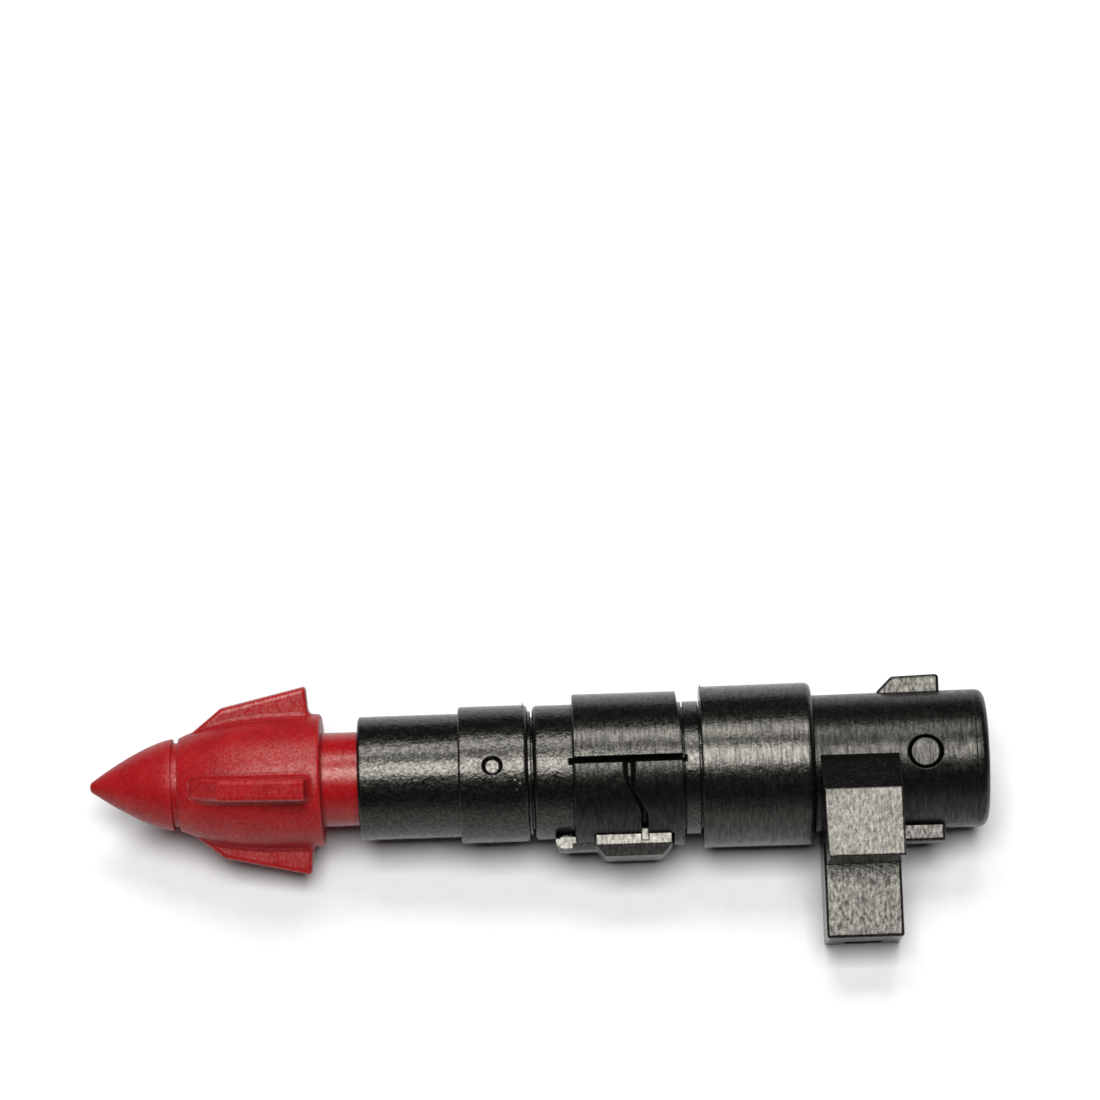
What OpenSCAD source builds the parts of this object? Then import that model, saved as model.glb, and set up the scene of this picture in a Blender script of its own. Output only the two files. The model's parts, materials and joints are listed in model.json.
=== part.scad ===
// Toy rocket seated in its spring-fired launcher tube, lying on its side.
// Axis of rocket and tube along X, nose at -X, +Z up, table at z = 0.

/* [Rocket] */
// Length of the pointed nose
nose_len = 5.6; // [4.5:0.1:7]
// Radius at the base of the nose
nose_r = 3.07; // [2.8:0.01:3.1]
// Length of the flared body behind the nose groove
flare_len = 9.55; // [9:0.05:11]
// Largest radius of the flared body
flare_r = 4.42; // [4.2:0.02:4.8]
// Radius of the stem that enters the tube
stem_r = 3.13; // [3.05:0.01:3.15]
// Length of stem left showing in front of the muzzle
stem_gap = 2.45; // [1:0.05:4]
// Radius from the axis to the fin tips
fin_r = 6.28; // [5.6:0.01:7]
// Thickness of a fin
fin_t = 1.5; // [0.8:0.05:1.8]
// Rounding of a fin's free edges
fin_edge = 0.3; // [0.1:0.05:0.35]
// Turn of the rocket about its own axis
rocket_roll = 13; // [0:0.5:45]

/* [Tube] */
// Length of the plain barrel in front of the sleeve
barrel_len = 6.7; // [4:0.05:9]
// Length of the front sleeve
sleeve_len = 4.63; // [3:0.01:6]
// Radius of the front sleeve
sleeve_r = 4.56; // [4.4:0.02:4.8]
// Length of bare housing in front of the covers
centre_len = 2.67; // [2.4:0.01:4]
// Radius of the housings
housing_r = 4.48; // [4.42:0.01:4.6]
// Length of the cover pair
cover_len = 7.25; // [7.2:0.05:9]
// Radius of the cover pair
cover_r = 5.14; // [5:0.02:5.3]
// Length of the bare neck behind the covers
neck_len = 1.25; // [0.9:0.05:2.5]
// Length of the rear collar
collar_len = 7.45; // [6:0.05:9]
// Radius of the rear collar
collar_r = 5.42; // [5:0.01:5.6]
// Radius of the rear housing at its end
rear_r = 4.6; // [4.5:0.02:4.8]
// Length of the rear housing behind the collar
rear_len = 10.7; // [10.5:0.05:13]
// Height of the domed end
cap_len = 1; // [0.5:0.05:1.5]

/* [Grip] */
// Side of the square grip along the tube
grip_w = 5.1; // [4.6:0.02:5.6]
// Thickness of the grip across the tube
grip_t = 5; // [4.6:0.02:5.4]
// Distance from the axis to the end of the grip
grip_end = 11.95; // [10:0.05:14]
// Rounding of the grip's corners
grip_edge = 0.2; // [0.1:0.05:0.6]
// Distance from the axis plane to the face of the side block
block_reach = 7.15; // [6.2:0.05:7.5]

/* [Moving parts] */
// How far the rocket pushes home before the catch takes it
push_in = 2.3; // [1:0.05:2.4]
// Turns in the main spring
spring_turns = 8.5; // [6:0.5:10]

/* [Pose] */
// Angle that the grip dips below level as the part lies on a table
lay_angle = 16.8; // [0:0.2:20]

/* [Hidden] */
$fn = 96;

red = "#b3272b";
black = "#2d2b29";
steel = "#b9bbbd";

// gaps between pieces, and the rounding of moulded edges
snug = 0.03;
close = 0.01;
running = 0.07;
edge = 0.14;
soft_edge = 0.33;
arc_steps = 5;
past = 1;

// stations along the axis, measured from the nose tip
groove_w = 0.45;
sleeve_gap = 0.3;
s_groove = nose_len;
s_flare = s_groove + groove_w;
s_rim = s_flare + flare_len;
s_muzzle = s_rim + stem_gap;
s_sleeve = s_muzzle + barrel_len;
s_gap = s_sleeve + sleeve_len;
s_centre = s_gap + sleeve_gap;
s_cover = s_centre + centre_len;
s_neck = s_cover + cover_len;
s_collar = s_neck + neck_len;
s_rear = s_collar + collar_len;
s_cap = s_rear + rear_len;
total_len = s_cap + cap_len;
s_tail = s_collar + collar_len / 2;
s_grip = s_rear + 2.95;
s_pin = s_cap - 3.4;

// narrow reliefs turned beside the shoulders
relief_w = 0.13;
relief_d = 0.35;

// radii
bore_r = stem_r + running;
chamber_r = 3.6;
barrel_r = 4.12;
socket_r = 3.77;
tail_r = 4.43;
under_r = cover_r - 0.72;
groove_r = 2.8;
flare_front_r = 3.12;

// rocket joints
nose_tip = 0.16;
nose_blunt = 0.38;
nose_curve = 1.42;
nose_spigot_r = 1.5;
nose_spigot_len = 2.4;
stem_spigot_r = 2.2;
stem_spigot_len = 3;
fin_root_r = 2.95;
fin_front = 0.75;
fin_back = 8.75;
rim_len = 0.9;
rim_edge = 0.25;

// catch, trigger and plunger, placed from the front of the covers
s_spigot = s_centre + 1.32;
s_catch = s_cover - 0.55;
s_step = s_cover + 5.8;
s_lug = s_cover - 1.35;
s_pad = s_cover + 1.3;
pad_len = 5.1;
pad_t = 4.6;
pad_face = 5.28;
pad_bevel = 0.67;
pad_inner = 4.5;
pad_skirt = 4.2;
pad_wall = 0.45;
pad_swing = 0.15;
notch = 0.12;
arm_round = 2;
arm_face = 5.45;
lug_inner = 4.6;
lug_face = 5.34;
lug_corner = 0.55;
s_pivot = s_pad + 1.8;
s_spring = s_pivot + 1.9;
pivot_h = 3.85;
pivot_r = 0.25;
knuckle_w = 1.9;
recess_h = 3.85;
arm_w = 2.6;
catch_groove_r = 2.78;
catch_room = 0.5;
stem_bore_r = 1.9;
catch_w = 1.2;
catch_len = 0.6;
s_stem_groove = s_catch - push_in;
s_stem_end = s_step - 0.02;
s_plunger = s_step + 0.02;
plunger_head = 1.2;
plunger_tube = 9;
plunger_tube_r = 2;
s_plug = s_pin - 3.05;
rod_r = 1.2;
rod_seat = 1.7;
main_coil_r = 2.9;
main_wire_r = 0.25;

// side slot between the covers, its edges measured down from the axis
slot_top = -0.33;
slot_bottom = 0.12;
slot_over = 0.3;
slot_shallow = 4.2;
slot_deep = 3.75;

// cap pin and sleeve pin
cap_pin_r = 0.93;
cap_pin_face = 4.4;
cap_ring_r = 1.2;
cap_ring_floor = 3.85;
sleeve_pin_r = 0.46;
sleeve_pin_face = 4.08;
sleeve_dish_r = 0.7;
sleeve_dish = barrel_r + 0.1;
pin_seat = 3.6;
s_sleeve_pin = s_sleeve + 2.25;

// side block: the shoulder's start near the housing, the flat face's top and end below the
// axis, the draft on its front side, and the slot in the grip's end
block_root = 4.4;
block_top = 2.6;
block_end = 7.1;
block_draft = 0.25;
end_slot = 2.5;

// tabs on the rear housing
tab_t = 1.8;
tab_root = 4.05;
tab_face = 5.6;
tab_front = 2.85;
tab_rear = 1.32;
tab_edge = 0.2;
rear_taper = 0.06;
dome_h = 0.2;
cap_edge = 0.6;

// resting place: table at z = 0, footprint centred on the origin; reach is how far a bar with
// rounded corners, turned by an angle, extends from the axis
function reach(length, half, rounding, turn) =
    (length - rounding) * cos(turn) + (half - rounding) * abs(sin(turn)) + rounding;
function fin_reach(turn) = reach(fin_r, fin_t / 2, fin_edge, turn);
function grip_reach(turn) = reach(grip_end, grip_t / 2, grip_edge, turn);
fin_depths = [for (i = [0:3]) fin_reach(lay_angle + rocket_roll + 90 * i - 180)];
fin_sides = [for (i = [0:3]) fin_reach(lay_angle + rocket_roll + 90 * i + 90)];
grip_depth = grip_reach(90 - lay_angle);
grip_side = grip_reach(lay_angle);
axis_z = max(concat(fin_depths, [grip_depth, collar_r]));
axis_y = (grip_side - max(concat(fin_sides, [collar_r]))) / 2;

function at(s) = s - total_len / 2;

// launcher frame: x along the axis, -y down the grip, +z out of the near side
module placed()
    translate([0, axis_y, axis_z]) rotate([lay_angle, 0, 0]) children();

module rocket_placed()
    placed() rotate([rocket_roll, 0, 0]) children();

// polygon corners [x, y, radius] turned into arcs; a corner with no radius stays sharp
function unit(v) = v / norm(v);
function corner_arc(before, corner, after, r) =
    let (
        a = unit(before - corner), b = unit(after - corner),
        half = acos(max(-1, min(1, a * b))) / 2,
        centre = corner + unit(a + b) * r / sin(half),
        start = corner + a * r / tan(half) - centre,
        finish = corner + b * r / tan(half) - centre,
        from = atan2(start[1], start[0]),
        turn = (atan2(finish[1], finish[0]) - from + 540) % 360 - 180
    )
    [
        for (k = [0:arc_steps])
        let (angle = from + turn * k / arc_steps)
        centre + r * [cos(angle), sin(angle)]
    ];

function flat(p) = [p[0], p[1]];
function rounded(points) =
    let (n = len(points))
    [
        for (i = [0:n - 1])
        let (
            p = points[i], r = len(p) > 2 ? p[2] : 0,
            before = flat(points[(i + n - 1) % n]), after = flat(points[(i + 1) % n])
        )
        each r > 0 ? corner_arc(before, flat(p), after, r) : [flat(p)]
    ];

// solid turned about the axis from [station, radius] or [station, radius, rounding] points
module turned(points)
    rotate([0, 90, 0]) rotate_extrude() polygon([for (p = rounded(points)) [p[1], at(p[0])]]);

// cylinder along the axis between two stations
module along(s0, s1, r)
    translate([at(s0), 0, 0]) rotate([0, 90, 0]) cylinder(h = s1 - s0, r = r);

// cylinder across the tube, from z0 to z1, at station s and depth h below the axis
module across(s, h, z0, z1, r)
    translate([at(s), -h, z0]) cylinder(h = z1 - z0, r = r);

// box between two stations, from h0 to h1 below the axis, of a width centred on z = 0
module below(s0, s1, h0, h1, width)
    translate([at(s0), -h1, -width / 2]) cube([s1 - s0, h1 - h0, width]);

// tube profile with rounded outer edges
function tube(s0, s1, r_out, r_in, front, rear) =
    [[s0, r_in], [s0, r_out, front], [s1, r_out, rear], [s1, r_in]];

// rectangle centred on the origin with rounded corners
module soft_rect(w, h, r)
    polygon(rounded([[-w / 2, -h / 2, r], [w / 2, -h / 2, r], [w / 2, h / 2, r], [-w / 2, h / 2, r]]));

// box between two stations, from h0 to h1 below the axis, with every edge rounded
module soft_below(s0, s1, h0, h1, width, r)
    translate([(at(s0) + at(s1)) / 2, -(h0 + h1) / 2, 0]) intersection() {
        linear_extrude(width, center = true) soft_rect(s1 - s0, h1 - h0, r);
        rotate([90, 0, 0]) linear_extrude(h1 - h0, center = true) soft_rect(s1 - s0, width, r);
        rotate([0, 90, 0]) linear_extrude(s1 - s0, center = true) soft_rect(width, h1 - h0, r);
    }

// plate cut to a convex outline, with its free edges rounded in steps
module soft_plate(t, r)
    hull() for (a = [0:30:90])
        linear_extrude(t - 2 * r * (1 - sin(a)), center = true)
            offset(delta = -r * (1 - cos(a))) children();

// faces of a skin over a row of rings, each with the same number of points, closed at both ends
function skin(rings, sides) = concat(
    [
        for (i = [0:rings - 2], k = [0:sides - 1])
        let (a = i * sides + k, b = i * sides + (k + 1) % sides)
        [a, b, b + sides, a + sides]
    ],
    [[for (k = [sides - 1:-1:0]) k], [for (k = [0:sides - 1]) (rings - 1) * sides + k]]
);

// coil spring along +z from z = 0, with close end coils
function coil_rise(t, turns, height, wire) =
    let (e = 0.75, lift = 2.1 * wire)
    t < e ? t * lift
    : t > turns - e ? height - (turns - t) * lift
    : e * lift + (t - e) / (turns - 2 * e) * (height - 2 * e * lift);

module coil(turns, height, r, wire, steps = 20, sides = 8) {
    count = ceil(turns * steps);
    free = height - 2 * wire;
    points = [
        for (i = [0:count], k = [0:sides - 1])
        let (t = turns * i / count, a = 360 * t, b = 360 * k / sides, q = r + wire * cos(b))
        [q * cos(a), q * sin(a), wire + coil_rise(t, turns, free, wire) + wire * sin(b)]
    ];
    polyhedron(points = points, faces = skin(count + 1, sides), convexity = 8);
}

// ---- rocket ----

// ogive from just behind the blunt tip to the nose base
function ogive(n) = [
    for (i = [0:n])
    let (t = i / n)
    [
        nose_tip + (nose_len - nose_tip) * t,
        nose_blunt + (nose_r - nose_blunt) * (1 - pow(1 - t, nose_curve))
    ]
];

module rocket_nose() color(red)
    difference() {
        turned(concat(
            [[0, 0], [0, nose_blunt * 0.45], [nose_tip * 0.4, nose_blunt * 0.8]],
            ogive(20), [[s_groove, 0]]
        ));
        along(s_groove - nose_spigot_len - snug, s_groove + past, nose_spigot_r + snug);
    }

// radius of the flared body, t from 0 at its front to 1 at the rim
function flare(t) = flare_front_r + (flare_r - flare_front_r) * (1 - pow(1 - t, 3));

module rocket_body() color(red) {
    shape = [for (i = [0:16]) [s_flare + (flare_len - rim_len) * i / 16, flare(i / 16)]];
    difference() {
        turned(concat(
            [[s_groove - nose_spigot_len, 0], [s_groove - nose_spigot_len, nose_spigot_r],
             [s_groove, nose_spigot_r], [s_groove, groove_r], [s_flare, groove_r]],
            shape,
            [[s_rim - rim_len, flare_r], [s_rim, flare_r, rim_edge], [s_rim, 0]]
        ));
        along(s_rim - stem_spigot_len - snug, s_rim + past, stem_spigot_r + snug);
        for (i = [0:3])
            fin_shape(i, close);
    }
}

// fin outline as [distance behind the flare's front, radius]
module fin_outline()
    polygon([
        [fin_front, fin_root_r], [fin_front, 3.35], [2.85, 5.02], [fin_back - 0.3, fin_r],
        [fin_back - 0.15, fin_r - 0.15], [fin_back, flare_r - 0.1], [fin_back, fin_root_r]
    ]);

module fin_shape(i, gap = 0)
    rotate([90 * i, 0, 0]) translate([at(s_flare), 0, 0]) rotate([90, 0, 0])
        soft_plate(fin_t + 2 * gap, fin_edge) offset(delta = gap) fin_outline();

module fin(i) color(red)
    fin_shape(i);

module rocket_stem() color(red)
    difference() {
        turned([
            [s_rim - stem_spigot_len, 0], [s_rim - stem_spigot_len, stem_spigot_r],
            [s_rim, stem_spigot_r], [s_rim, stem_r],
            [s_stem_groove - catch_room, stem_r], [s_stem_groove - catch_room, catch_groove_r],
            [s_stem_groove + catch_room, catch_groove_r], [s_stem_groove + catch_room, stem_r],
            [s_stem_end, stem_r, 0.35], [s_stem_end, 0]
        ]);
        along(s_muzzle + 3, s_stem_end + past, stem_bore_r);
    }

// ---- tube ----

module barrel_tube() color(black)
    difference() {
        turned([
            [s_muzzle, bore_r, 0.1], [s_muzzle, barrel_r, 0.2],
            [s_centre - relief_w, barrel_r], [s_centre - relief_w, socket_r - snug],
            [s_spigot, socket_r - snug], [s_spigot, bore_r]
        ]);
        for (side = [0, 180])
            rotate([side, 0, 0]) across(s_sleeve_pin, 0, pin_seat, collar_r, sleeve_pin_r + 0.02);
    }

module front_sleeve() color(black)
    difference() {
        turned(tube(s_sleeve, s_gap, sleeve_r, barrel_r + snug, edge, soft_edge));
        across(s_sleeve_pin, 0, -collar_r, collar_r, sleeve_pin_r + 0.02);
        for (side = [0, 180])
            rotate([side, 0, 0]) translate([at(s_sleeve_pin), 0, sleeve_dish])
                cylinder(h = sleeve_r - sleeve_dish, r1 = sleeve_pin_r, r2 = sleeve_dish_r);
    }

module sleeve_pins() color(black)
    for (side = [0, 180])
        rotate([side, 0, 0]) across(s_sleeve_pin, 0, pin_seat + 0.02, sleeve_pin_face, sleeve_pin_r);

module centre_housing() color(black)
    difference() {
        turned([
            [s_centre, socket_r], [s_centre, housing_r, soft_edge],
            [s_cover, housing_r], [s_cover, under_r], [s_neck, under_r],
            [s_neck, tail_r - relief_d], [s_neck + relief_w, tail_r - relief_d],
            [s_neck + relief_w, tail_r], [s_collar - relief_w, tail_r],
            [s_collar - relief_w, tail_r - relief_d], [s_collar + snug, tail_r - relief_d],
            [s_collar + snug, tail_r], [s_tail, tail_r], [s_tail, chamber_r],
            [s_step, chamber_r], [s_step, bore_r], [s_spigot + snug, bore_r],
            [s_spigot + snug, socket_r]
        ]);
        below(s_catch - 0.55, s_catch + 0.5, 2.5, 5, catch_w + 0.2);
        below(s_pivot - 0.7, s_pivot + 0.7, pivot_h - 0.43, 5, knuckle_w + 0.1);
        below(s_pivot + 0.6, s_pad + pad_len + 0.2, recess_h, 5, pad_t + 0.3);
        across(s_pivot, pivot_h, -1.55, 1.55, pivot_r + 0.02);
        slot_groove();
        mirror([0, 0, 1]) slot_groove();
    }

// the slot's floor, which leans down towards the lower cover
module slot_groove()
    translate([at(s_cover) - slot_over, 0, 0]) rotate([90, 0, 90])
        linear_extrude(cover_len + 2 * slot_over) polygon([
            [-slot_top, slot_shallow], [-slot_bottom, slot_deep], [-slot_bottom, 5], [-slot_top, 5]
        ]);

// ring that the two covers are cut from; the upper one's rear edge is raked forward
rake_start = 0.8;
rake = 0.36;
module cover_ring()
    turned(tube(s_cover, s_neck, cover_r, under_r + snug, edge, edge / 2));

module upper_cover() color(black)
    intersection() {
        cover_ring();
        linear_extrude(3 * cover_r, center = true) polygon([
            [at(s_cover) - past, -slot_top], [at(s_neck) + past, -slot_top], [at(s_neck), rake_start],
            [at(s_neck) - rake, cover_r], [at(s_neck) - 1.25 * rake, cover_r + past],
            [at(s_cover) - past, cover_r + past]
        ]);
    }

// cranked channel down the side of the lower cover, wide at the slot and again at the trigger,
// as [distance from the slot end of the channel, depth below the axis, half width]
channel = [
    [0, -0.1, 0.42], [0, 1.1, 0.38], [0.04, 1.6, 0.24], [0.3, 2.2, 0.17], [0.8, 3.1, 0.19],
    [0.93, 3.45, 0.24], [0.93, 4.3, 0.24], [0.93, 5, 0.24]
];
s_channel = s_cover + 3.68;
channel_d = 0.55;
channel_floor = 0.25;
channel_over = 0.3;

module channel_cut()
    translate([at(s_channel), 0, 0]) linear_extrude(6) polygon(concat(
        [for (p = channel) [p[0] - p[2], -p[1]]],
        [for (i = [len(channel) - 1:-1:0]) [channel[i][0] + channel[i][2], -channel[i][1]]]
    ));

// corners of the channel's section at one of its points, square to the cover's skin; its sides
// slope in to a floor that is a quarter as wide
function channel_section(p) =
    let (
        turn = asin(p[1] / cover_r),
        foot = p[2] * channel_floor,
        top = p[2] + (p[2] - foot) * channel_over / channel_d
    )
    [
        for (c = [[-top, channel_over], [top, channel_over], [foot, -channel_d], [-foot, -channel_d]])
        let (r = cover_r + c[1])
        [at(s_channel) + p[0] + c[0], -r * sin(turn), r * cos(turn)]
    ];

module cover_channel()
    polyhedron(
        points = [for (p = channel) each channel_section(p)],
        faces = skin(len(channel), 4)
    );

module lower_cover() color(black)
    difference() {
        intersection() {
            cover_ring();
            below(s_cover - past, s_neck + past, slot_bottom, cover_r + past, 3 * cover_r);
        }
        below(s_pad - 0.04, s_pad + pad_len + pad_swing, 3, 6, pad_t + 0.06);
        below(s_cover - past, s_pad + 0.1, 3, 6, arm_w + 0.1);
        cover_channel();
        mirror([0, 0, 1]) cover_channel();
    }

module rear_collar() color(black)
    turned([
        [s_collar, tail_r + snug], [s_collar, collar_r - 0.04, 0.1], [s_rear, collar_r, 0.45],
        [s_rear, tail_r + snug]
    ]);

module rear_housing() color(black)
    difference() {
        turned([
            [s_tail + 0.05, chamber_r], [s_tail + 0.05, tail_r],
            [s_rear, tail_r], [s_rear, rear_r - rear_taper], [s_cap, rear_r], [s_cap, chamber_r]
        ]);
        across(s_pin, 0, -collar_r, collar_r, cap_pin_r + 0.02);
        for (side = [0, 180])
            rotate([side, 0, 0]) translate([at(s_pin), 0, cap_ring_floor])
                cylinder(h = rear_r - cap_ring_floor, r1 = cap_pin_r, r2 = cap_ring_r);
        tab_shape(top_outline, close);
        tab_shape(bottom_outline, close);
    }

// end cap, a shallow dome with a rounded rim
module rear_cap() color(black)
    difference() {
        turned(concat(
            [[s_plug, 0], [s_plug, chamber_r - 0.3], [s_plug + 0.3, chamber_r - snug],
             [s_cap, chamber_r - snug], [s_cap, rear_r], [total_len - dome_h, rear_r, cap_edge]],
            [for (t = [0.75, 0.5, 0.25, 0]) [total_len - dome_h * t * t, rear_r * t]]
        ));
        across(s_pin, 0, -collar_r, collar_r, cap_pin_r + 0.02);
        along(s_plug - past, s_plug + rod_seat + snug, rod_r + 0.02);
    }

module cap_pin() color(black)
    across(s_pin, 0, -cap_pin_face, cap_pin_face, cap_pin_r);

// outlines of the two tabs as [station from the cap pin, distance from the axis, rounding]
top_outline = [
    [-tab_front, tab_root], [-tab_front, rear_r], [-1.85, tab_face - 0.03, 0.3],
    [tab_rear, tab_face + 0.06, 0.25], [tab_rear, tab_root]
];
bottom_front = s_grip + grip_w / 2 - s_pin + 0.02;
bottom_outline = [
    [bottom_front, -tab_root], [bottom_front, -tab_face + 0.05],
    [tab_rear, -tab_face + 0.05, 0.15], [tab_rear, -tab_root]
];

module tab_shape(outline, gap = 0)
    translate([at(s_pin), 0, 0])
        soft_plate(tab_t + 2 * gap, tab_edge) offset(delta = gap) polygon(rounded(outline));

module top_tab() color(black)
    tab_shape(top_outline);

module bottom_tab() color(black)
    tab_shape(bottom_outline);

// ---- grip ----

// room for the rear housing, which widens slightly to the rear
module rear_room()
    turned([
        [s_rear, 0], [s_rear, rear_r - rear_taper + snug], [s_cap, rear_r + snug], [s_cap, 0]
    ]);

// block on the near side of the grip: its sloping shoulder meets the housing and its front
// side draws in towards the grip's end
module side_block() color(black) {
    half = grip_w / 2 + 0.05;
    inner = grip_t / 2 + snug;
    difference() {
        translate([at(s_grip), 0, 0]) intersection() {
            translate([half, 0, 0]) rotate([0, -90, 0]) linear_extrude(2 * half)
                polygon(rounded([
                    [block_root, 0.15], [block_reach, -block_top, 0.15], [block_reach, -block_end, 0.15],
                    [inner, -block_end, 0.15], [inner, -3]
                ]));
            translate([0, past, 0]) rotate([90, 0, 0])
                linear_extrude(block_end + 2 * past) soft_rect(2 * half, 2 * block_reach, 0.15);
            linear_extrude(block_reach) polygon([
                [-half, past], [half, past], [half, -block_end - past],
                [-half + block_draft, -block_end - past], [-half, -block_top]
            ]);
        }
        rear_room();
    }
}

module grip() color(black)
    difference() {
        soft_below(s_grip - grip_w / 2, s_grip + grip_w / 2, 2, grip_end, grip_t, grip_edge);
        rear_room();
        translate([at(s_grip) - end_slot / 2, -grip_end - past, -1.85])
            cube([end_slot, past + 3, 1.25]);
    }

// ---- trigger and catch ----

// finger pad, hollow inside and open to the front, bevelled all round its face
module trigger_pad()
    difference() {
        hull() {
            soft_below(s_pad, s_pad + pad_len, pad_skirt, pad_face, pad_t, 0.07);
            below(s_pad + pad_bevel, s_pad + pad_len - pad_bevel, pad_inner, pad_face + pad_bevel,
                pad_t - 2 * pad_bevel);
        }
        below(s_pad - past, s_pad + pad_len - pad_wall, pad_skirt - past, pad_inner,
            pad_t - 2 * pad_wall);
        for (side = [0, 1])
            mirror([0, 0, side]) translate([0, 0, pad_t / 2 - notch]) channel_cut();
    }

// round-bottomed arm that runs forward from the pad under the covers to the lug
module trigger_arm()
    translate([at(s_lug) + 0.3, 0, 0]) rotate([90, 0, 90]) linear_extrude(s_pad - s_lug)
        intersection() {
            translate([arm_round - arm_face, 0]) circle(arm_round);
            translate([-arm_face, -arm_w / 2]) square([arm_face - pad_inner, arm_w]);
        }

// lug in front of the covers, with a round front corner
module trigger_lug()
    translate([0, 0, -arm_w / 2]) linear_extrude(arm_w) polygon(rounded([
        [at(s_lug), -lug_inner], [at(s_lug), -lug_face, lug_corner], [at(s_cover) - 0.2, -lug_face],
        [at(s_cover) - 0.2, -lug_inner]
    ]));

module trigger() color(black)
    difference() {
        union() {
            trigger_pad();
            trigger_arm();
            trigger_lug();
            below(s_pivot - 0.38, s_pivot + 0.38, pivot_h, pad_inner + 0.1, knuckle_w);
            across(s_pivot, pivot_h, -knuckle_w / 2, knuckle_w / 2, 0.38);
        }
        across(s_pivot, pivot_h, -knuckle_w, knuckle_w, pivot_r + 0.02);
        below(s_catch - catch_len / 2 - 0.02, s_catch + catch_len / 2 + 0.02,
            pad_inner - past, 4.85, catch_w + 0.04);
    }

// sprung finger that rides on the stem and snaps into its groove once the rocket is home
module catch_finger() color(steel) {
    half = catch_len / 2;
    tip = stem_r + snug;
    translate([at(s_catch), 0, -catch_w / 2]) linear_extrude(catch_w) polygon([
        [-half, -4.83], [half, -4.83], [half, -tip - 0.35], [0.1, -tip], [-half, -tip]
    ]);
}

module trigger_pin() color(steel)
    across(s_pivot, pivot_h, -1.5, 1.5, pivot_r);

module trigger_spring() color(steel)
    translate([at(s_spring), -recess_h - 0.01, 0]) rotate([90, 0, 0])
        coil(2.5, pad_inner - recess_h - 0.02, 0.7, 0.09, 16, 6);

// ---- spring drive ----

// piston head with a tube behind it that slides on the guide rod
module plunger() color(black) {
    s_back = s_plunger + plunger_head;
    turned([
        [s_plunger, 0], [s_plunger, chamber_r - 0.25], [s_plunger + 0.2, chamber_r - 0.05],
        [s_back, chamber_r - 0.05], [s_back, plunger_tube_r],
        [s_back + plunger_tube, plunger_tube_r], [s_back + plunger_tube, rod_r + running],
        [s_back, rod_r + running], [s_back, 0]
    ]);
}

module main_spring() color(steel)
    translate([at(s_plunger + plunger_head) + 0.02, 0, 0]) rotate([0, 90, 0])
        coil(spring_turns, s_plug - s_plunger - plunger_head - 0.04, main_coil_r, main_wire_r);

module guide_rod() color(steel) {
    s_front = s_plunger + plunger_head + push_in + 0.2;
    turned([
        [s_front, 0], [s_front, rod_r - 0.2], [s_front + 0.2, rod_r],
        [s_plug + rod_seat, rod_r], [s_plug + rod_seat, 0]
    ]);
}

rocket_placed() rocket_nose();
rocket_placed() rocket_body();
rocket_placed() fin(0);  // fin_1
rocket_placed() fin(1);  // fin_2
rocket_placed() fin(2);  // fin_3
rocket_placed() fin(3);  // fin_4
rocket_placed() rocket_stem();
placed() barrel_tube();
placed() front_sleeve();
placed() sleeve_pins();
placed() centre_housing();
placed() upper_cover();
placed() lower_cover();
placed() rear_collar();
placed() rear_housing();
placed() rear_cap();
placed() cap_pin();
placed() top_tab();
placed() bottom_tab();
placed() side_block();
placed() grip();
placed() trigger();
placed() catch_finger();
placed() trigger_pin();
placed() trigger_spring();
placed() plunger();
placed() main_spring();
placed() guide_rod();
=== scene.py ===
"""Toy rocket in its spring launcher tube: materials, small moulded details, light and camera."""

import json
import math

import bmesh
import bpy
from mathutils import Matrix, Vector, noise


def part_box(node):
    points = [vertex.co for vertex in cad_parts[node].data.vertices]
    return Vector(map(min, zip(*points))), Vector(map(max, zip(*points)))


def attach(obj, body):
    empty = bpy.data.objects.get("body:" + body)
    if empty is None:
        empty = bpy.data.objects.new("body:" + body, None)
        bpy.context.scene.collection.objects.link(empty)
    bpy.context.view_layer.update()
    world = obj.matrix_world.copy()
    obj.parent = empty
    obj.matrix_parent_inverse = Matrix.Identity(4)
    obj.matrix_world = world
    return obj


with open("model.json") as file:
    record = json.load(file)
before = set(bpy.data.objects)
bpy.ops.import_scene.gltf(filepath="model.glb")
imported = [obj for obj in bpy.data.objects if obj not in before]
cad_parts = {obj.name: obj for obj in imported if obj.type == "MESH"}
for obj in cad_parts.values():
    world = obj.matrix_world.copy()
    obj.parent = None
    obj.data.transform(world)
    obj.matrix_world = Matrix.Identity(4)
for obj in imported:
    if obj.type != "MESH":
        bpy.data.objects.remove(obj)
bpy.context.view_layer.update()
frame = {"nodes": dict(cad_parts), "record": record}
nodes = frame["nodes"]

MM = 0.001

# ---------------------------------------------------------------------------
# directions and measures taken from the frame
# ---------------------------------------------------------------------------


def middle(node):
    low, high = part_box(node)
    return (low + high) / 2


def outline(points):
    """Upper hull of (station, height) points, as a function of the station."""
    hull = []
    for x, h in sorted(points):
        while len(hull) > 1:
            (x0, h0), (x1, h1) = hull[-2:]
            if (x1 - x0) * (h - h0) < (h1 - h0) * (x - x0):
                break
            hull.pop()
        hull.append((x, h))

    def height_at(x):
        for (x0, h0), (x1, h1) in zip(hull, hull[1:]):
            if x0 < x1 and x <= x1:
                return h0 + (h1 - h0) * (x - x0) / (x1 - x0)
        return hull[-1][1]

    return height_at


def outline_radius(node):
    """Outer radius of a turned node, as a function of the station."""
    return outline(
        (v.co.x, math.hypot(v.co.y - AXIS.y, v.co.z - AXIS.z))
        for v in nodes[node].data.vertices)


ALONG = Vector((1, 0, 0))
AXIS = middle("rear_collar")


def around(angle):
    """Direction square to the tube: 0 degrees towards -Y, 90 straight up."""
    a = math.radians(angle)
    return Vector((0, -math.cos(a), math.sin(a)))


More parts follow.
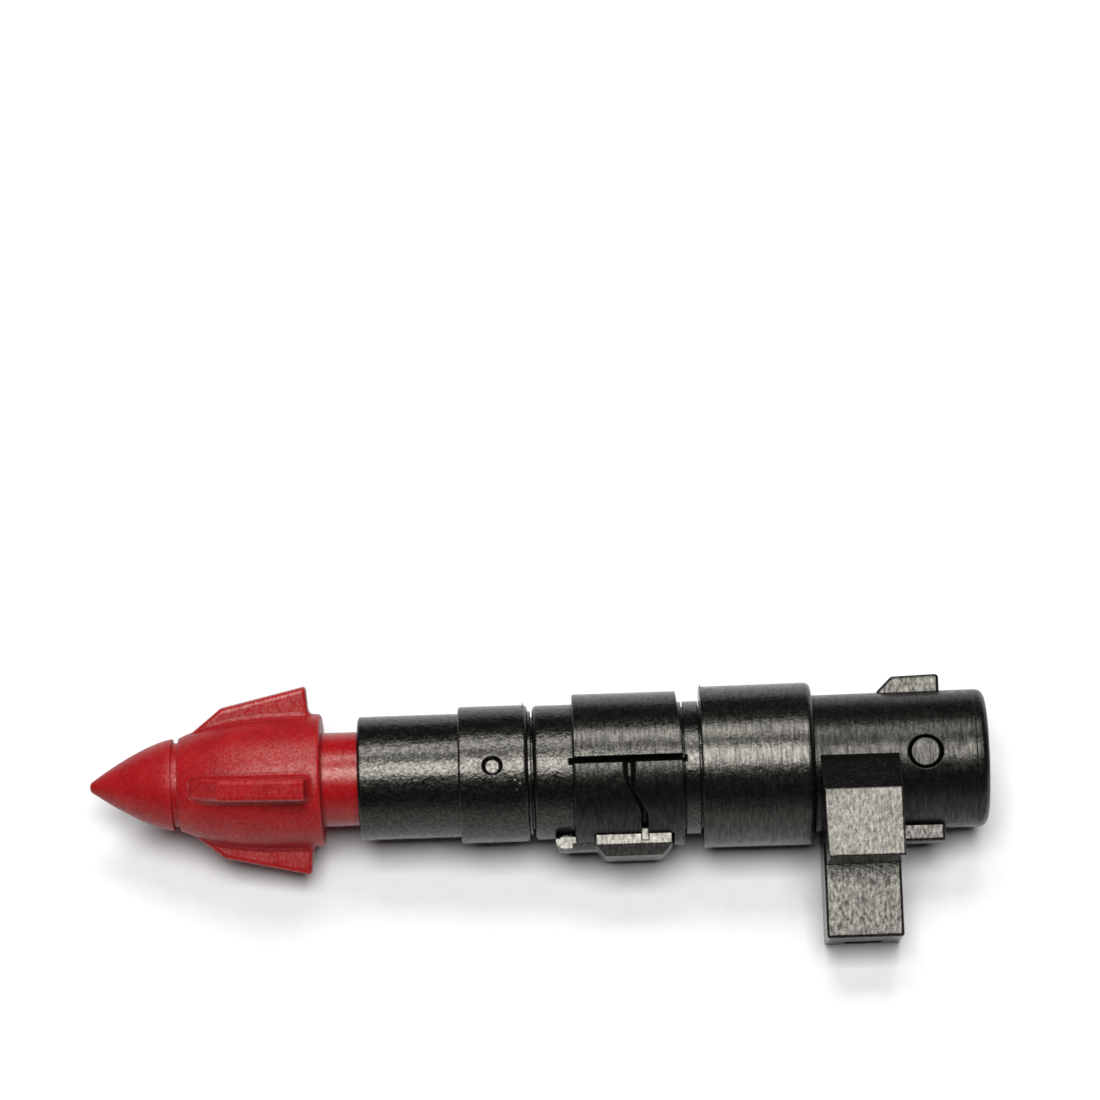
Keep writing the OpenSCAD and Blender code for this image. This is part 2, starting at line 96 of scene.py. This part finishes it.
# ---------------------------------------------------------------------------
# materials
# ---------------------------------------------------------------------------

# the Mix node's sockets for colours, which share their names with its other sockets
MIX_FIRST, MIX_SECOND, MIX_RESULT = 6, 7, 2
BEVEL_SAMPLES = 6


class Finish:
    """A Principled material with short calls for its texture nodes."""

    def __init__(self, name):
        self.material = bpy.data.materials.new(name)
        self.material.use_nodes = True
        self.tree = self.material.node_tree
        self.shader = self.tree.nodes["Principled BSDF"]
        self.place = self.tree.nodes.new("ShaderNodeTexCoord").outputs["Object"]

    def set(self, **values):
        for socket, value in values.items():
            self.shader.inputs[socket.replace("_", " ")].default_value = value

    def link(self, source, target):
        self.tree.links.new(source, target)

    def drive(self, socket, source):
        self.link(source, self.shader.inputs[socket])

    def stretched(self, sizes):
        node = self.tree.nodes.new("ShaderNodeMapping")
        node.inputs["Scale"].default_value = tuple(1 / size for size in sizes)
        self.link(self.place, node.inputs["Vector"])
        return node.outputs["Vector"]

    def noise(self, size, detail=2.0, rough=0.5):
        """Noise with features of about the given size in metres, or sizes in x, y and z."""
        node = self.tree.nodes.new("ShaderNodeTexNoise")
        node.inputs["Detail"].default_value = detail
        node.inputs["Roughness"].default_value = rough
        if isinstance(size, tuple):
            node.inputs["Scale"].default_value = 1
            self.link(self.stretched(size), node.inputs["Vector"])
        else:
            node.inputs["Scale"].default_value = 1 / size
            self.link(self.place, node.inputs["Vector"])
        return node.outputs["Fac"]

    def remap(self, source, low, high, to_low, to_high):
        node = self.tree.nodes.new("ShaderNodeMapRange")
        sockets = ("From Min", "From Max", "To Min", "To Max")
        for socket, value in zip(sockets, (low, high, to_low, to_high)):
            node.inputs[socket].default_value = value
        self.link(source, node.inputs["Value"])
        return node.outputs["Result"]

    def add(self, first, second):
        node = self.tree.nodes.new("ShaderNodeMath")
        node.operation = "ADD"
        self.link(first, node.inputs[0])
        self.link(second, node.inputs[1])
        return node.outputs["Value"]

    def blend(self, factor, first, second):
        """Colour mix; first and second are colours or sockets."""
        node = self.tree.nodes.new("ShaderNodeMix")
        node.data_type = "RGBA"
        self.link(factor, node.inputs["Factor"])
        for index, value in ((MIX_FIRST, first), (MIX_SECOND, second)):
            if isinstance(value, tuple):
                node.inputs[index].default_value = (*value, 1)
            else:
                self.link(value, node.inputs[index])
        return node.outputs[MIX_RESULT]

    def softened_edge_highlight_mask(self, radius, low, high):
        """Softens the edges of the surface and returns 1 on them, 0 on flat ground: the mask of the
        painted edge highlight.
        """
        bevel = self.tree.nodes.new("ShaderNodeBevel")
        bevel.samples = BEVEL_SAMPLES
        bevel.inputs["Radius"].default_value = radius
        self.drive("Normal", bevel.outputs["Normal"])
        ground = self.tree.nodes.new("ShaderNodeNewGeometry")
        dot = self.tree.nodes.new("ShaderNodeVectorMath")
        dot.operation = "DOT_PRODUCT"
        self.link(bevel.outputs["Normal"], dot.inputs[0])
        self.link(ground.outputs["Normal"], dot.inputs[1])
        return self.remap(dot.outputs["Value"], high, low, 0, 1)

    def bump(self, height, depth):
        """Adds relief of the given depth in metres on top of any set before."""
        node = self.tree.nodes.new("ShaderNodeBump")
        node.inputs["Strength"].default_value = 1
        node.inputs["Distance"].default_value = depth
        self.link(height, node.inputs["Height"])
        below = self.shader.inputs["Normal"].links
        if below:
            self.link(below[0].from_socket, node.inputs["Normal"])
        self.drive("Normal", node.outputs["Normal"])


NOISE_SPAN = (0.3, 0.7)         # where nearly all of a noise's values lie

# what all the moulded plastics share
PLASTIC_IOR = 1.46
HIGHLIGHT_TINT = (1.0, 0.96, 0.86, 1)
GLOW_COLOUR = (1, 0.06, 0.06)
GLOW_REACH = 1.2 * MM
CLOUD_SIZE = 1.6 * MM
SPECK_SIZE = 0.16 * MM
SPECK_SPAN = (0.55, 0.8)
SPECK_STRENGTH = 0.35
# the edge radius softens the shading normals; span and strength lighten the colour along edges as a
# painted highlight
EDGE_RADIUS = 0.12 * MM
EDGE_HIGHLIGHT_SPAN = (0.90, 0.995)
EDGE_HIGHLIGHT_STRENGTH = 0.5
PATCH_SIZE = 0.5 * MM
PATCH_AND_SPECK_SPAN = (0.7, 1.3)
SMOOTHER, ROUGHER = 0.08, 0.1   # how far the roughness goes below and above its middle
LINE_SIZE = (0.17 * MM, 3.2 * MM, 3.2 * MM)
RIPPLE_SIZE = 0.45 * MM
GRAIN_SIZE = 0.20 * MM


def moulded(name, dark, light, fleck_and_edge_highlight, rough, grain, streaks, ripple, sparkle, lie, shine, glow=0.0):
    """Moulded plastic: mottled colour, rippled skin, fine grain and tooling lines across it.

    ripple, grain and streaks are depths, sparkle is how unevenly the skin shines and lie is the
    size of its specks in x, y and z.
    """
    f = Finish(name)
    f.set(IOR=PLASTIC_IOR, Specular_Tint=HIGHLIGHT_TINT)
    f.set(Subsurface_Weight=glow, Subsurface_Radius=GLOW_COLOUR, Subsurface_Scale=GLOW_REACH)

    clouds = f.noise(CLOUD_SIZE, detail=3)
    specks = f.noise(SPECK_SIZE, detail=2)
    edges = f.softened_edge_highlight_mask(EDGE_RADIUS, *EDGE_HIGHLIGHT_SPAN)
    mottled = f.blend(f.remap(clouds, *NOISE_SPAN, 0, 1), dark, light)
    specked = f.blend(f.remap(specks, *SPECK_SPAN, 0, SPECK_STRENGTH), mottled, fleck_and_edge_highlight)
    # painted highlight: the colour is lightened along every edge, as light caught by rounded edges
    # would look
    f.drive("Base Color", f.blend(f.remap(edges, 0, 1, 0, EDGE_HIGHLIGHT_STRENGTH), specked, fleck_and_edge_highlight))

    patches = f.add(f.noise(PATCH_SIZE, detail=3), specks)
    f.drive("Roughness", f.remap(patches, *PATCH_AND_SPECK_SPAN, rough - SMOOTHER, rough + ROUGHER))
    dullest, brightest = shine * (1 - sparkle), shine * (1 + sparkle)
    f.drive("Specular IOR Level", f.remap(f.noise(lie, detail=1), *NOISE_SPAN, dullest, brightest))

    f.bump(f.noise(RIPPLE_SIZE, detail=2), ripple)
    f.bump(f.noise(LINE_SIZE, detail=3, rough=0.6), streaks)
    f.bump(f.noise(GRAIN_SIZE, detail=3, rough=0.6), grain)
    return f.material


STEEL_LINE_SIZE = (0.05 * MM, 1.5 * MM, 1.5 * MM)
STEEL_LINE_DEPTH = 0.004 * MM
STAIN_SIZE = 0.8 * MM
STAIN_SPAN = (0.35, 0.7)
LINE_AND_STAIN_SPAN = (0.6, 1.4)
STEEL_ROUGHNESS = (0.22, 0.42)
CLEAN_STEEL = (0.55, 0.55, 0.54)
STAINED_STEEL = (0.38, 0.37, 0.35)


def brushed_steel():
    f = Finish("brushed_steel")
    f.set(Metallic=1.0)
    lines = f.noise(STEEL_LINE_SIZE, detail=4)
    stain = f.noise(STAIN_SIZE, detail=3)
    f.drive("Base Color", f.blend(f.remap(stain, *STAIN_SPAN, 0, 1), CLEAN_STEEL, STAINED_STEEL))
    f.drive("Roughness", f.remap(f.add(lines, stain), *LINE_AND_STAIN_SPAN, *STEEL_ROUGHNESS))
    f.bump(lines, STEEL_LINE_DEPTH)
    return f.material


PAPER_ROUGHNESS = 0.75
FIBRE_SIZE = 1.2 * MM
FIBRE_DEPTH = 0.01 * MM
PAPER_DARK = (0.56, 0.56, 0.565)
PAPER_LIGHT = (0.58, 0.58, 0.583)


def paper():
    f = Finish("table_top")
    f.set(Roughness=PAPER_ROUGHNESS)
    fibres = f.noise(FIBRE_SIZE, detail=4)
    f.drive("Base Color", f.blend(f.remap(fibres, *NOISE_SPAN, 0, 1), PAPER_DARK, PAPER_LIGHT))
    f.bump(fibres, FIBRE_DEPTH)
    return f.material


# the third colour serves both the lighter flecks in the plastic and the painted edge highlight
RED_COLOURS = dict(
    dark=(0.20, 0.0025, 0.0045), light=(0.25, 0.005, 0.007), fleck_and_edge_highlight=(0.32, 0.02, 0.024))
BLACK_COLOURS = dict(
    dark=(0.0018, 0.0017, 0.0015), light=(0.0032, 0.0029, 0.0025), fleck_and_edge_highlight=(0.010, 0.009, 0.008))

# lies of the skin's specks
EVEN = (0.20 * MM, 0.20 * MM, 0.20 * MM)
TURNED = (0.16 * MM, 0.9 * MM, 0.9 * MM)
DRAWN = (0.18 * MM, 0.40 * MM, 0.40 * MM)
FROSTED = (0.14 * MM, 0.40 * MM, 0.40 * MM)

RED_BODY = moulded(
    "red_plastic", **RED_COLOURS, rough=0.40, grain=0.014 * MM, streaks=0.010 * MM,
    ripple=0.010 * MM, sparkle=0.5, lie=EVEN, shine=0.28, glow=0.4)
RED_FINS = moulded(
    "red_plastic_fins", **RED_COLOURS, rough=0.36, grain=0.014 * MM, streaks=0.014 * MM,
    ripple=0.008 * MM, sparkle=0.6, lie=FROSTED, shine=0.4, glow=0.4)
RED_STEM = moulded(
    "red_plastic_stem", **RED_COLOURS, rough=0.28, grain=0.012 * MM, streaks=0.014 * MM,
    ripple=0.014 * MM, sparkle=0.3, lie=EVEN, shine=0.32, glow=0.4)
BLACK_MOTTLED = moulded(
    "black_plastic_mottled", **BLACK_COLOURS, rough=0.23, grain=0.018 * MM, streaks=0.008 * MM,
    ripple=0.026 * MM, sparkle=0.45, lie=EVEN, shine=0.46)
BLACK_LINED = moulded(
    "black_plastic_lined", **BLACK_COLOURS, rough=0.23, grain=0.014 * MM, streaks=0.022 * MM,
    ripple=0.012 * MM, sparkle=0.4, lie=TURNED, shine=0.46)
BLACK_DULL = moulded(
    "black_plastic_dull", **BLACK_COLOURS, rough=0.28, grain=0.014 * MM, streaks=0.026 * MM,
    ripple=0.012 * MM, sparkle=0.45, lie=TURNED, shine=0.26)


def grained(name, shine, sparkle):
    return moulded(
        name, **BLACK_COLOURS, rough=0.20, grain=0.020 * MM, streaks=0.014 * MM,
        ripple=0.010 * MM, sparkle=sparkle, lie=DRAWN, shine=shine)


BLACK_BLOCK = grained("black_plastic_block", shine=0.39, sparkle=0.42)
BLACK_GRIP = grained("black_plastic_grip", shine=0.30, sparkle=0.62)
BLACK_TRIGGER = grained("black_plastic_trigger", shine=0.54, sparkle=0.4)
STEEL = brushed_steel()

# nodes with a finish of their own; the rest take the plain one of their slot
FINISHES = {
    RED_FINS: ("fin_1", "fin_2", "fin_3", "fin_4"),
    RED_STEM: ("rocket_stem",),
    BLACK_LINED: ("upper_cover", "rear_collar"),
    BLACK_DULL: ("lower_cover", "rear_housing", "rear_cap", "cap_pin"),
    BLACK_BLOCK: ("side_block",),
    BLACK_TRIGGER: ("trigger",),
    BLACK_GRIP: ("grip", "top_tab", "bottom_tab"),
}
OWN_FINISH = {node: finish for finish, names in FINISHES.items() for node in names}
SLOT_FINISH = {"red_plastic": RED_BODY, "black_plastic": BLACK_MOTTLED, "steel": STEEL}

for row in frame["record"]["subparts"]:
    materials = nodes[row["node"]].data.materials
    materials.clear()
    materials.append(OWN_FINISH.get(row["node"], SLOT_FINISH[row["material_slot"]]))

# ---------------------------------------------------------------------------
# small moulded details
# ---------------------------------------------------------------------------

SHARP_EDGE = math.radians(50)


def solid(name, rings, material, body):
    """Tube of quads through equal rings of points, capped at both ends, riding on a body."""
    bm = bmesh.new()
    loops = [[bm.verts.new(p) for p in ring] for ring in rings]
    for a, b in zip(loops, loops[1:]):
        for k in range(len(a)):
            j = (k + 1) % len(a)
            bm.faces.new((a[k], a[j], b[j], b[k]))
    bm.faces.new(reversed(loops[0]))
    bm.faces.new(loops[-1])
    bmesh.ops.recalc_face_normals(bm, faces=bm.faces)
    mesh = bpy.data.meshes.new(name)
    bm.to_mesh(mesh)
    bm.free()
    mesh.materials.append(material)
    mesh.polygons.foreach_set("use_smooth", [True] * len(mesh.polygons))
    ob = bpy.data.objects.new(name, mesh)
    bpy.context.scene.collection.objects.link(ob)
    ob.modifiers.new("edges", "EDGE_SPLIT").split_angle = SHARP_EDGE
    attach(ob, body)


FILLET = 0.32 * MM              # reach of a full fillet
LEAST_FILLET = 0.02 * MM
FILLET_SHARE = 0.7              # of the fin's height, where the fin is too low for a full one
FILLET_SUNK = 0.06 * MM         # how far it goes into the two pieces that it joins
FIN_CORNER = 0.3 * MM           # radius round a fin's rear corners
FIN_FRONT = 0.35 * MM           # length left without a fillet at the fin's front
FIN_REAR = 0.6 * MM             # length at the fin's rear where its height isn't measured
SIDE_STEPS, CORNER_STEPS, REAR_STEPS, ARC_STEPS = 28, 6, 4, 6

body_radius = outline_radius("rocket_body")


def fillet_path(front, back, half):
    """Line round a fin's sides and rear: station, distance to the side, and outward normal."""
    bend_x, bend_s = back - FIN_CORNER, half - FIN_CORNER
    one_side = [
        (front + (bend_x - front) * i / SIDE_STEPS, half, 0.0, 1.0)
        for i in range(SIDE_STEPS + 1)]
    for i in range(1, CORNER_STEPS):
        a = math.radians(90 * (1 - i / CORNER_STEPS))
        nx, ns = math.cos(a), math.sin(a)
        one_side.append((bend_x + FIN_CORNER * nx, bend_s + FIN_CORNER * ns, nx, ns))
    rear = [(back, bend_s * (1 - 2 * i / REAR_STEPS), 1.0, 0.0) for i in range(REAR_STEPS + 1)]
    return one_side + rear + [(x, -s, nx, -ns) for x, s, nx, ns in reversed(one_side)]


def fin_fillet(fin, opposite):
    """Soft root where a fin meets the rocket's body: a concave band round its sides and rear."""
    outward = middle(fin) - middle(opposite)
    outward.x = 0
    outward.normalize()
    side = ALONG.cross(outward)
    points = [v.co for v in nodes[fin].data.vertices]
    half = max(abs((p - AXIS).dot(side)) for p in points)
    tip = outline((p.x, (p - AXIS).dot(outward)) for p in points)
    low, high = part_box(fin)

    rings = []
    for x, s, nx, ns in fillet_path(low.x + FIN_FRONT, high.x, half):
        rise = tip(min(x, high.x - FIN_REAR)) - body_radius(x)
        reach = max(LEAST_FILLET, min(FILLET, FILLET_SHARE * rise))
        profile = [(-FILLET_SUNK, reach), (-FILLET_SUNK, -FILLET_SUNK), (reach, -FILLET_SUNK)]
        for k in range(ARC_STEPS + 1):
            a = math.radians(90 * (1 - k / ARC_STEPS))
            profile.append((reach * (1 - math.cos(a)), reach * (1 - math.sin(a))))
        ring = []
        for out, height in profile:
            px, ps = x + nx * out, s + ns * out
            ground = math.sqrt(max(body_radius(px) ** 2 - ps ** 2, 0))
            ring.append(
                Vector((px, AXIS.y, AXIS.z)) + side * ps + outward * (ground + height))
        rings.append(ring)
    solid(fin + "_fillet", rings, RED_BODY, "rocket")


for fin, opposite in (
        ("fin_1", "fin_3"), ("fin_2", "fin_4"), ("fin_3", "fin_1"), ("fin_4", "fin_2")):
    fin_fillet(fin, opposite)

FLASH_STEPS = 24
FLASH_HALF_WIDTH = 0.07 * MM
FLASH_SUNK = 0.08 * MM
FLASH_CREST = 0.01 * MM         # least height of the crest
FLASH_SHOULDERS = (0.6, 0.7)    # height beside the crest, as a share of it
FLASH_TAPER = 0.7               # below 1, so the sliver rises quickly at its ends
RAGGED_MEAN, RAGGED_SWING, RAGGED_WAVES = 0.75, 0.5, 7


def flash(name, node, x, start, end, height, seed):
    """Thin ragged sliver of plastic left standing on a turned node, between two angles."""
    radius = outline_radius(node)(x)
    rings = []
    for i in range(FLASH_STEPS + 1):
        t = i / FLASH_STEPS
        across = around(start + (end - start) * t)
        ragged = RAGGED_MEAN + RAGGED_SWING * noise.noise(Vector((RAGGED_WAVES * t, seed, 0)))
        top = height * math.sin(math.pi * t) ** FLASH_TAPER * ragged
        profile = (
            (-1, -FLASH_SUNK), (-0.5, top * FLASH_SHOULDERS[0]), (0, top + FLASH_CREST),
            (0.5, top * FLASH_SHOULDERS[1]), (1, -FLASH_SUNK))
        rings.append([
            Vector((x + dx * FLASH_HALF_WIDTH, AXIS.y, AXIS.z)) + across * (radius + h)
            for dx, h in profile])
    solid(name, rings, BLACK_MOTTLED, "launcher")


sleeve_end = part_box("front_sleeve")[1].x
collar_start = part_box("rear_collar")[0].x
flash("sleeve_flash", "front_sleeve", sleeve_end - 0.31 * MM, 138, 168, 0.20 * MM, 1.3)
flash("collar_flash", "rear_collar", collar_start + 0.09 * MM, 146, 166, 0.16 * MM, 4.1)

SCAR_SUNK = 0.03 * MM
SCAR_LIFT = 0.01 * MM           # of every ring but the lowest
SCAR_RINGS, SCAR_SIDES = 6, 18
SCAR_CROWN = 84                 # angle of the last ring up the dome, where it is closed
SCAR_OVAL = 0.8                 # width round the tube, as a share of the length along it


def scar(name, node, x, angle, radius, height):
    """Low blister left on the skin of a turned piece where the mould was fed."""
    up = around(angle)
    side = ALONG.cross(up)
    ground = outline_radius(node)(x)
    centre = Vector((x, AXIS.y, AXIS.z)) + up * (ground - SCAR_SUNK)
    turns = [math.tau * k / SCAR_SIDES for k in range(SCAR_SIDES)]
    rings = []
    for i in range(SCAR_RINGS + 1):
        a = math.radians(SCAR_CROWN * i / SCAR_RINGS)
        r = radius * math.cos(a)
        rings.append([
            centre + up * (height * math.sin(a) + SCAR_LIFT * (i > 0))
            + ALONG * (r * math.cos(b)) + side * (r * math.sin(b) * SCAR_OVAL)
            for b in turns])
    solid(name, rings, BLACK_MOTTLED, "launcher")


scar("sleeve_scar_1", "front_sleeve", sleeve_end - 0.90 * MM, 60, 0.24 * MM, 0.11 * MM)
scar("sleeve_scar_2", "front_sleeve", sleeve_end - 0.58 * MM, 57, 0.17 * MM, 0.09 * MM)
scar("sleeve_scar_3", "front_sleeve", sleeve_end - 0.80 * MM, 52, 0.13 * MM, 0.08 * MM)

# ---------------------------------------------------------------------------
# table, light and camera
# ---------------------------------------------------------------------------

TABLE_HALF = 1.5
table_mesh = bpy.data.meshes.new("table")
corners = [(-1, -1), (1, -1), (1, 1), (-1, 1)]
table_mesh.from_pydata(
    [(x * TABLE_HALF, y * TABLE_HALF, 0) for x, y in corners], [], [(0, 1, 2, 3)])
table_mesh.materials.append(paper())
table = bpy.data.objects.new("table", table_mesh)
bpy.context.scene.collection.objects.link(table)

LAMP_DISTANCE = 0.8


def softbox(name, elevation, width, length, radiance):
    """Rectangular lamp over the toy, its elevation measured over the top from the -Y horizon."""
    direction = around(elevation)
    light = bpy.data.lights.new(name, "AREA")
    light.shape = "RECTANGLE"
    light.size = length
    light.size_y = width
    light.energy = radiance * math.pi * width * length
    ob = bpy.data.objects.new(name, light)
    ob.matrix_world = Matrix.Translation(direction * LAMP_DISTANCE) @ (
        Matrix((ALONG, direction.cross(ALONG), direction)).transposed().to_4x4())
    bpy.context.scene.collection.objects.link(ob)


softbox("overhead_box", elevation=82, width=0.36, length=0.46, radiance=18)
softbox("back_box", elevation=119, width=0.25, length=0.46, radiance=11)
softbox("front_card", elevation=8, width=0.22, length=1.4, radiance=0.35)

ROOM_LIGHT = 0.03
world = bpy.data.worlds.new("studio")
world.use_nodes = True
background = world.node_tree.nodes["Background"].inputs
background["Color"].default_value = (1, 1, 1, 1)
background["Strength"].default_value = ROOM_LIGHT
bpy.context.scene.world = world
bpy.context.scene.view_settings.view_transform = "Standard"

CAMERA_ELEVATION = 63.35
CAMERA_AZIMUTH = -0.88
CAMERA_ROLL = -2.75
CAMERA_DISTANCE = 312.7 * MM
AIM_RIGHT = 0.68 * MM
AIM_UP = 17.74 * MM
FIELD_OF_VIEW = 13.35
CLIP_START = 0.01


def place_camera():
    e, a, r = (math.radians(v) for v in (CAMERA_ELEVATION, CAMERA_AZIMUTH, CAMERA_ROLL))
    forward = Vector((math.sin(a) * math.cos(e), math.cos(a) * math.cos(e), -math.sin(e)))
    level = Vector((math.cos(a), -math.sin(a), 0))
    over = level.cross(forward)
    right = level * math.cos(r) + over * math.sin(r)
    up = over * math.cos(r) - level * math.sin(r)
    aim = Vector((0, 0, AXIS.z)) + right * AIM_RIGHT + up * AIM_UP
    data = bpy.data.cameras.new("camera")
    data.angle = math.radians(FIELD_OF_VIEW)
    data.clip_start = CLIP_START
    camera = bpy.data.objects.new("camera", data)
    camera.matrix_world = Matrix.Translation(aim - forward * CAMERA_DISTANCE) @ (
        Matrix((right, up, -forward)).transposed().to_4x4())
    bpy.context.scene.collection.objects.link(camera)
    bpy.context.scene.camera = camera


place_camera()
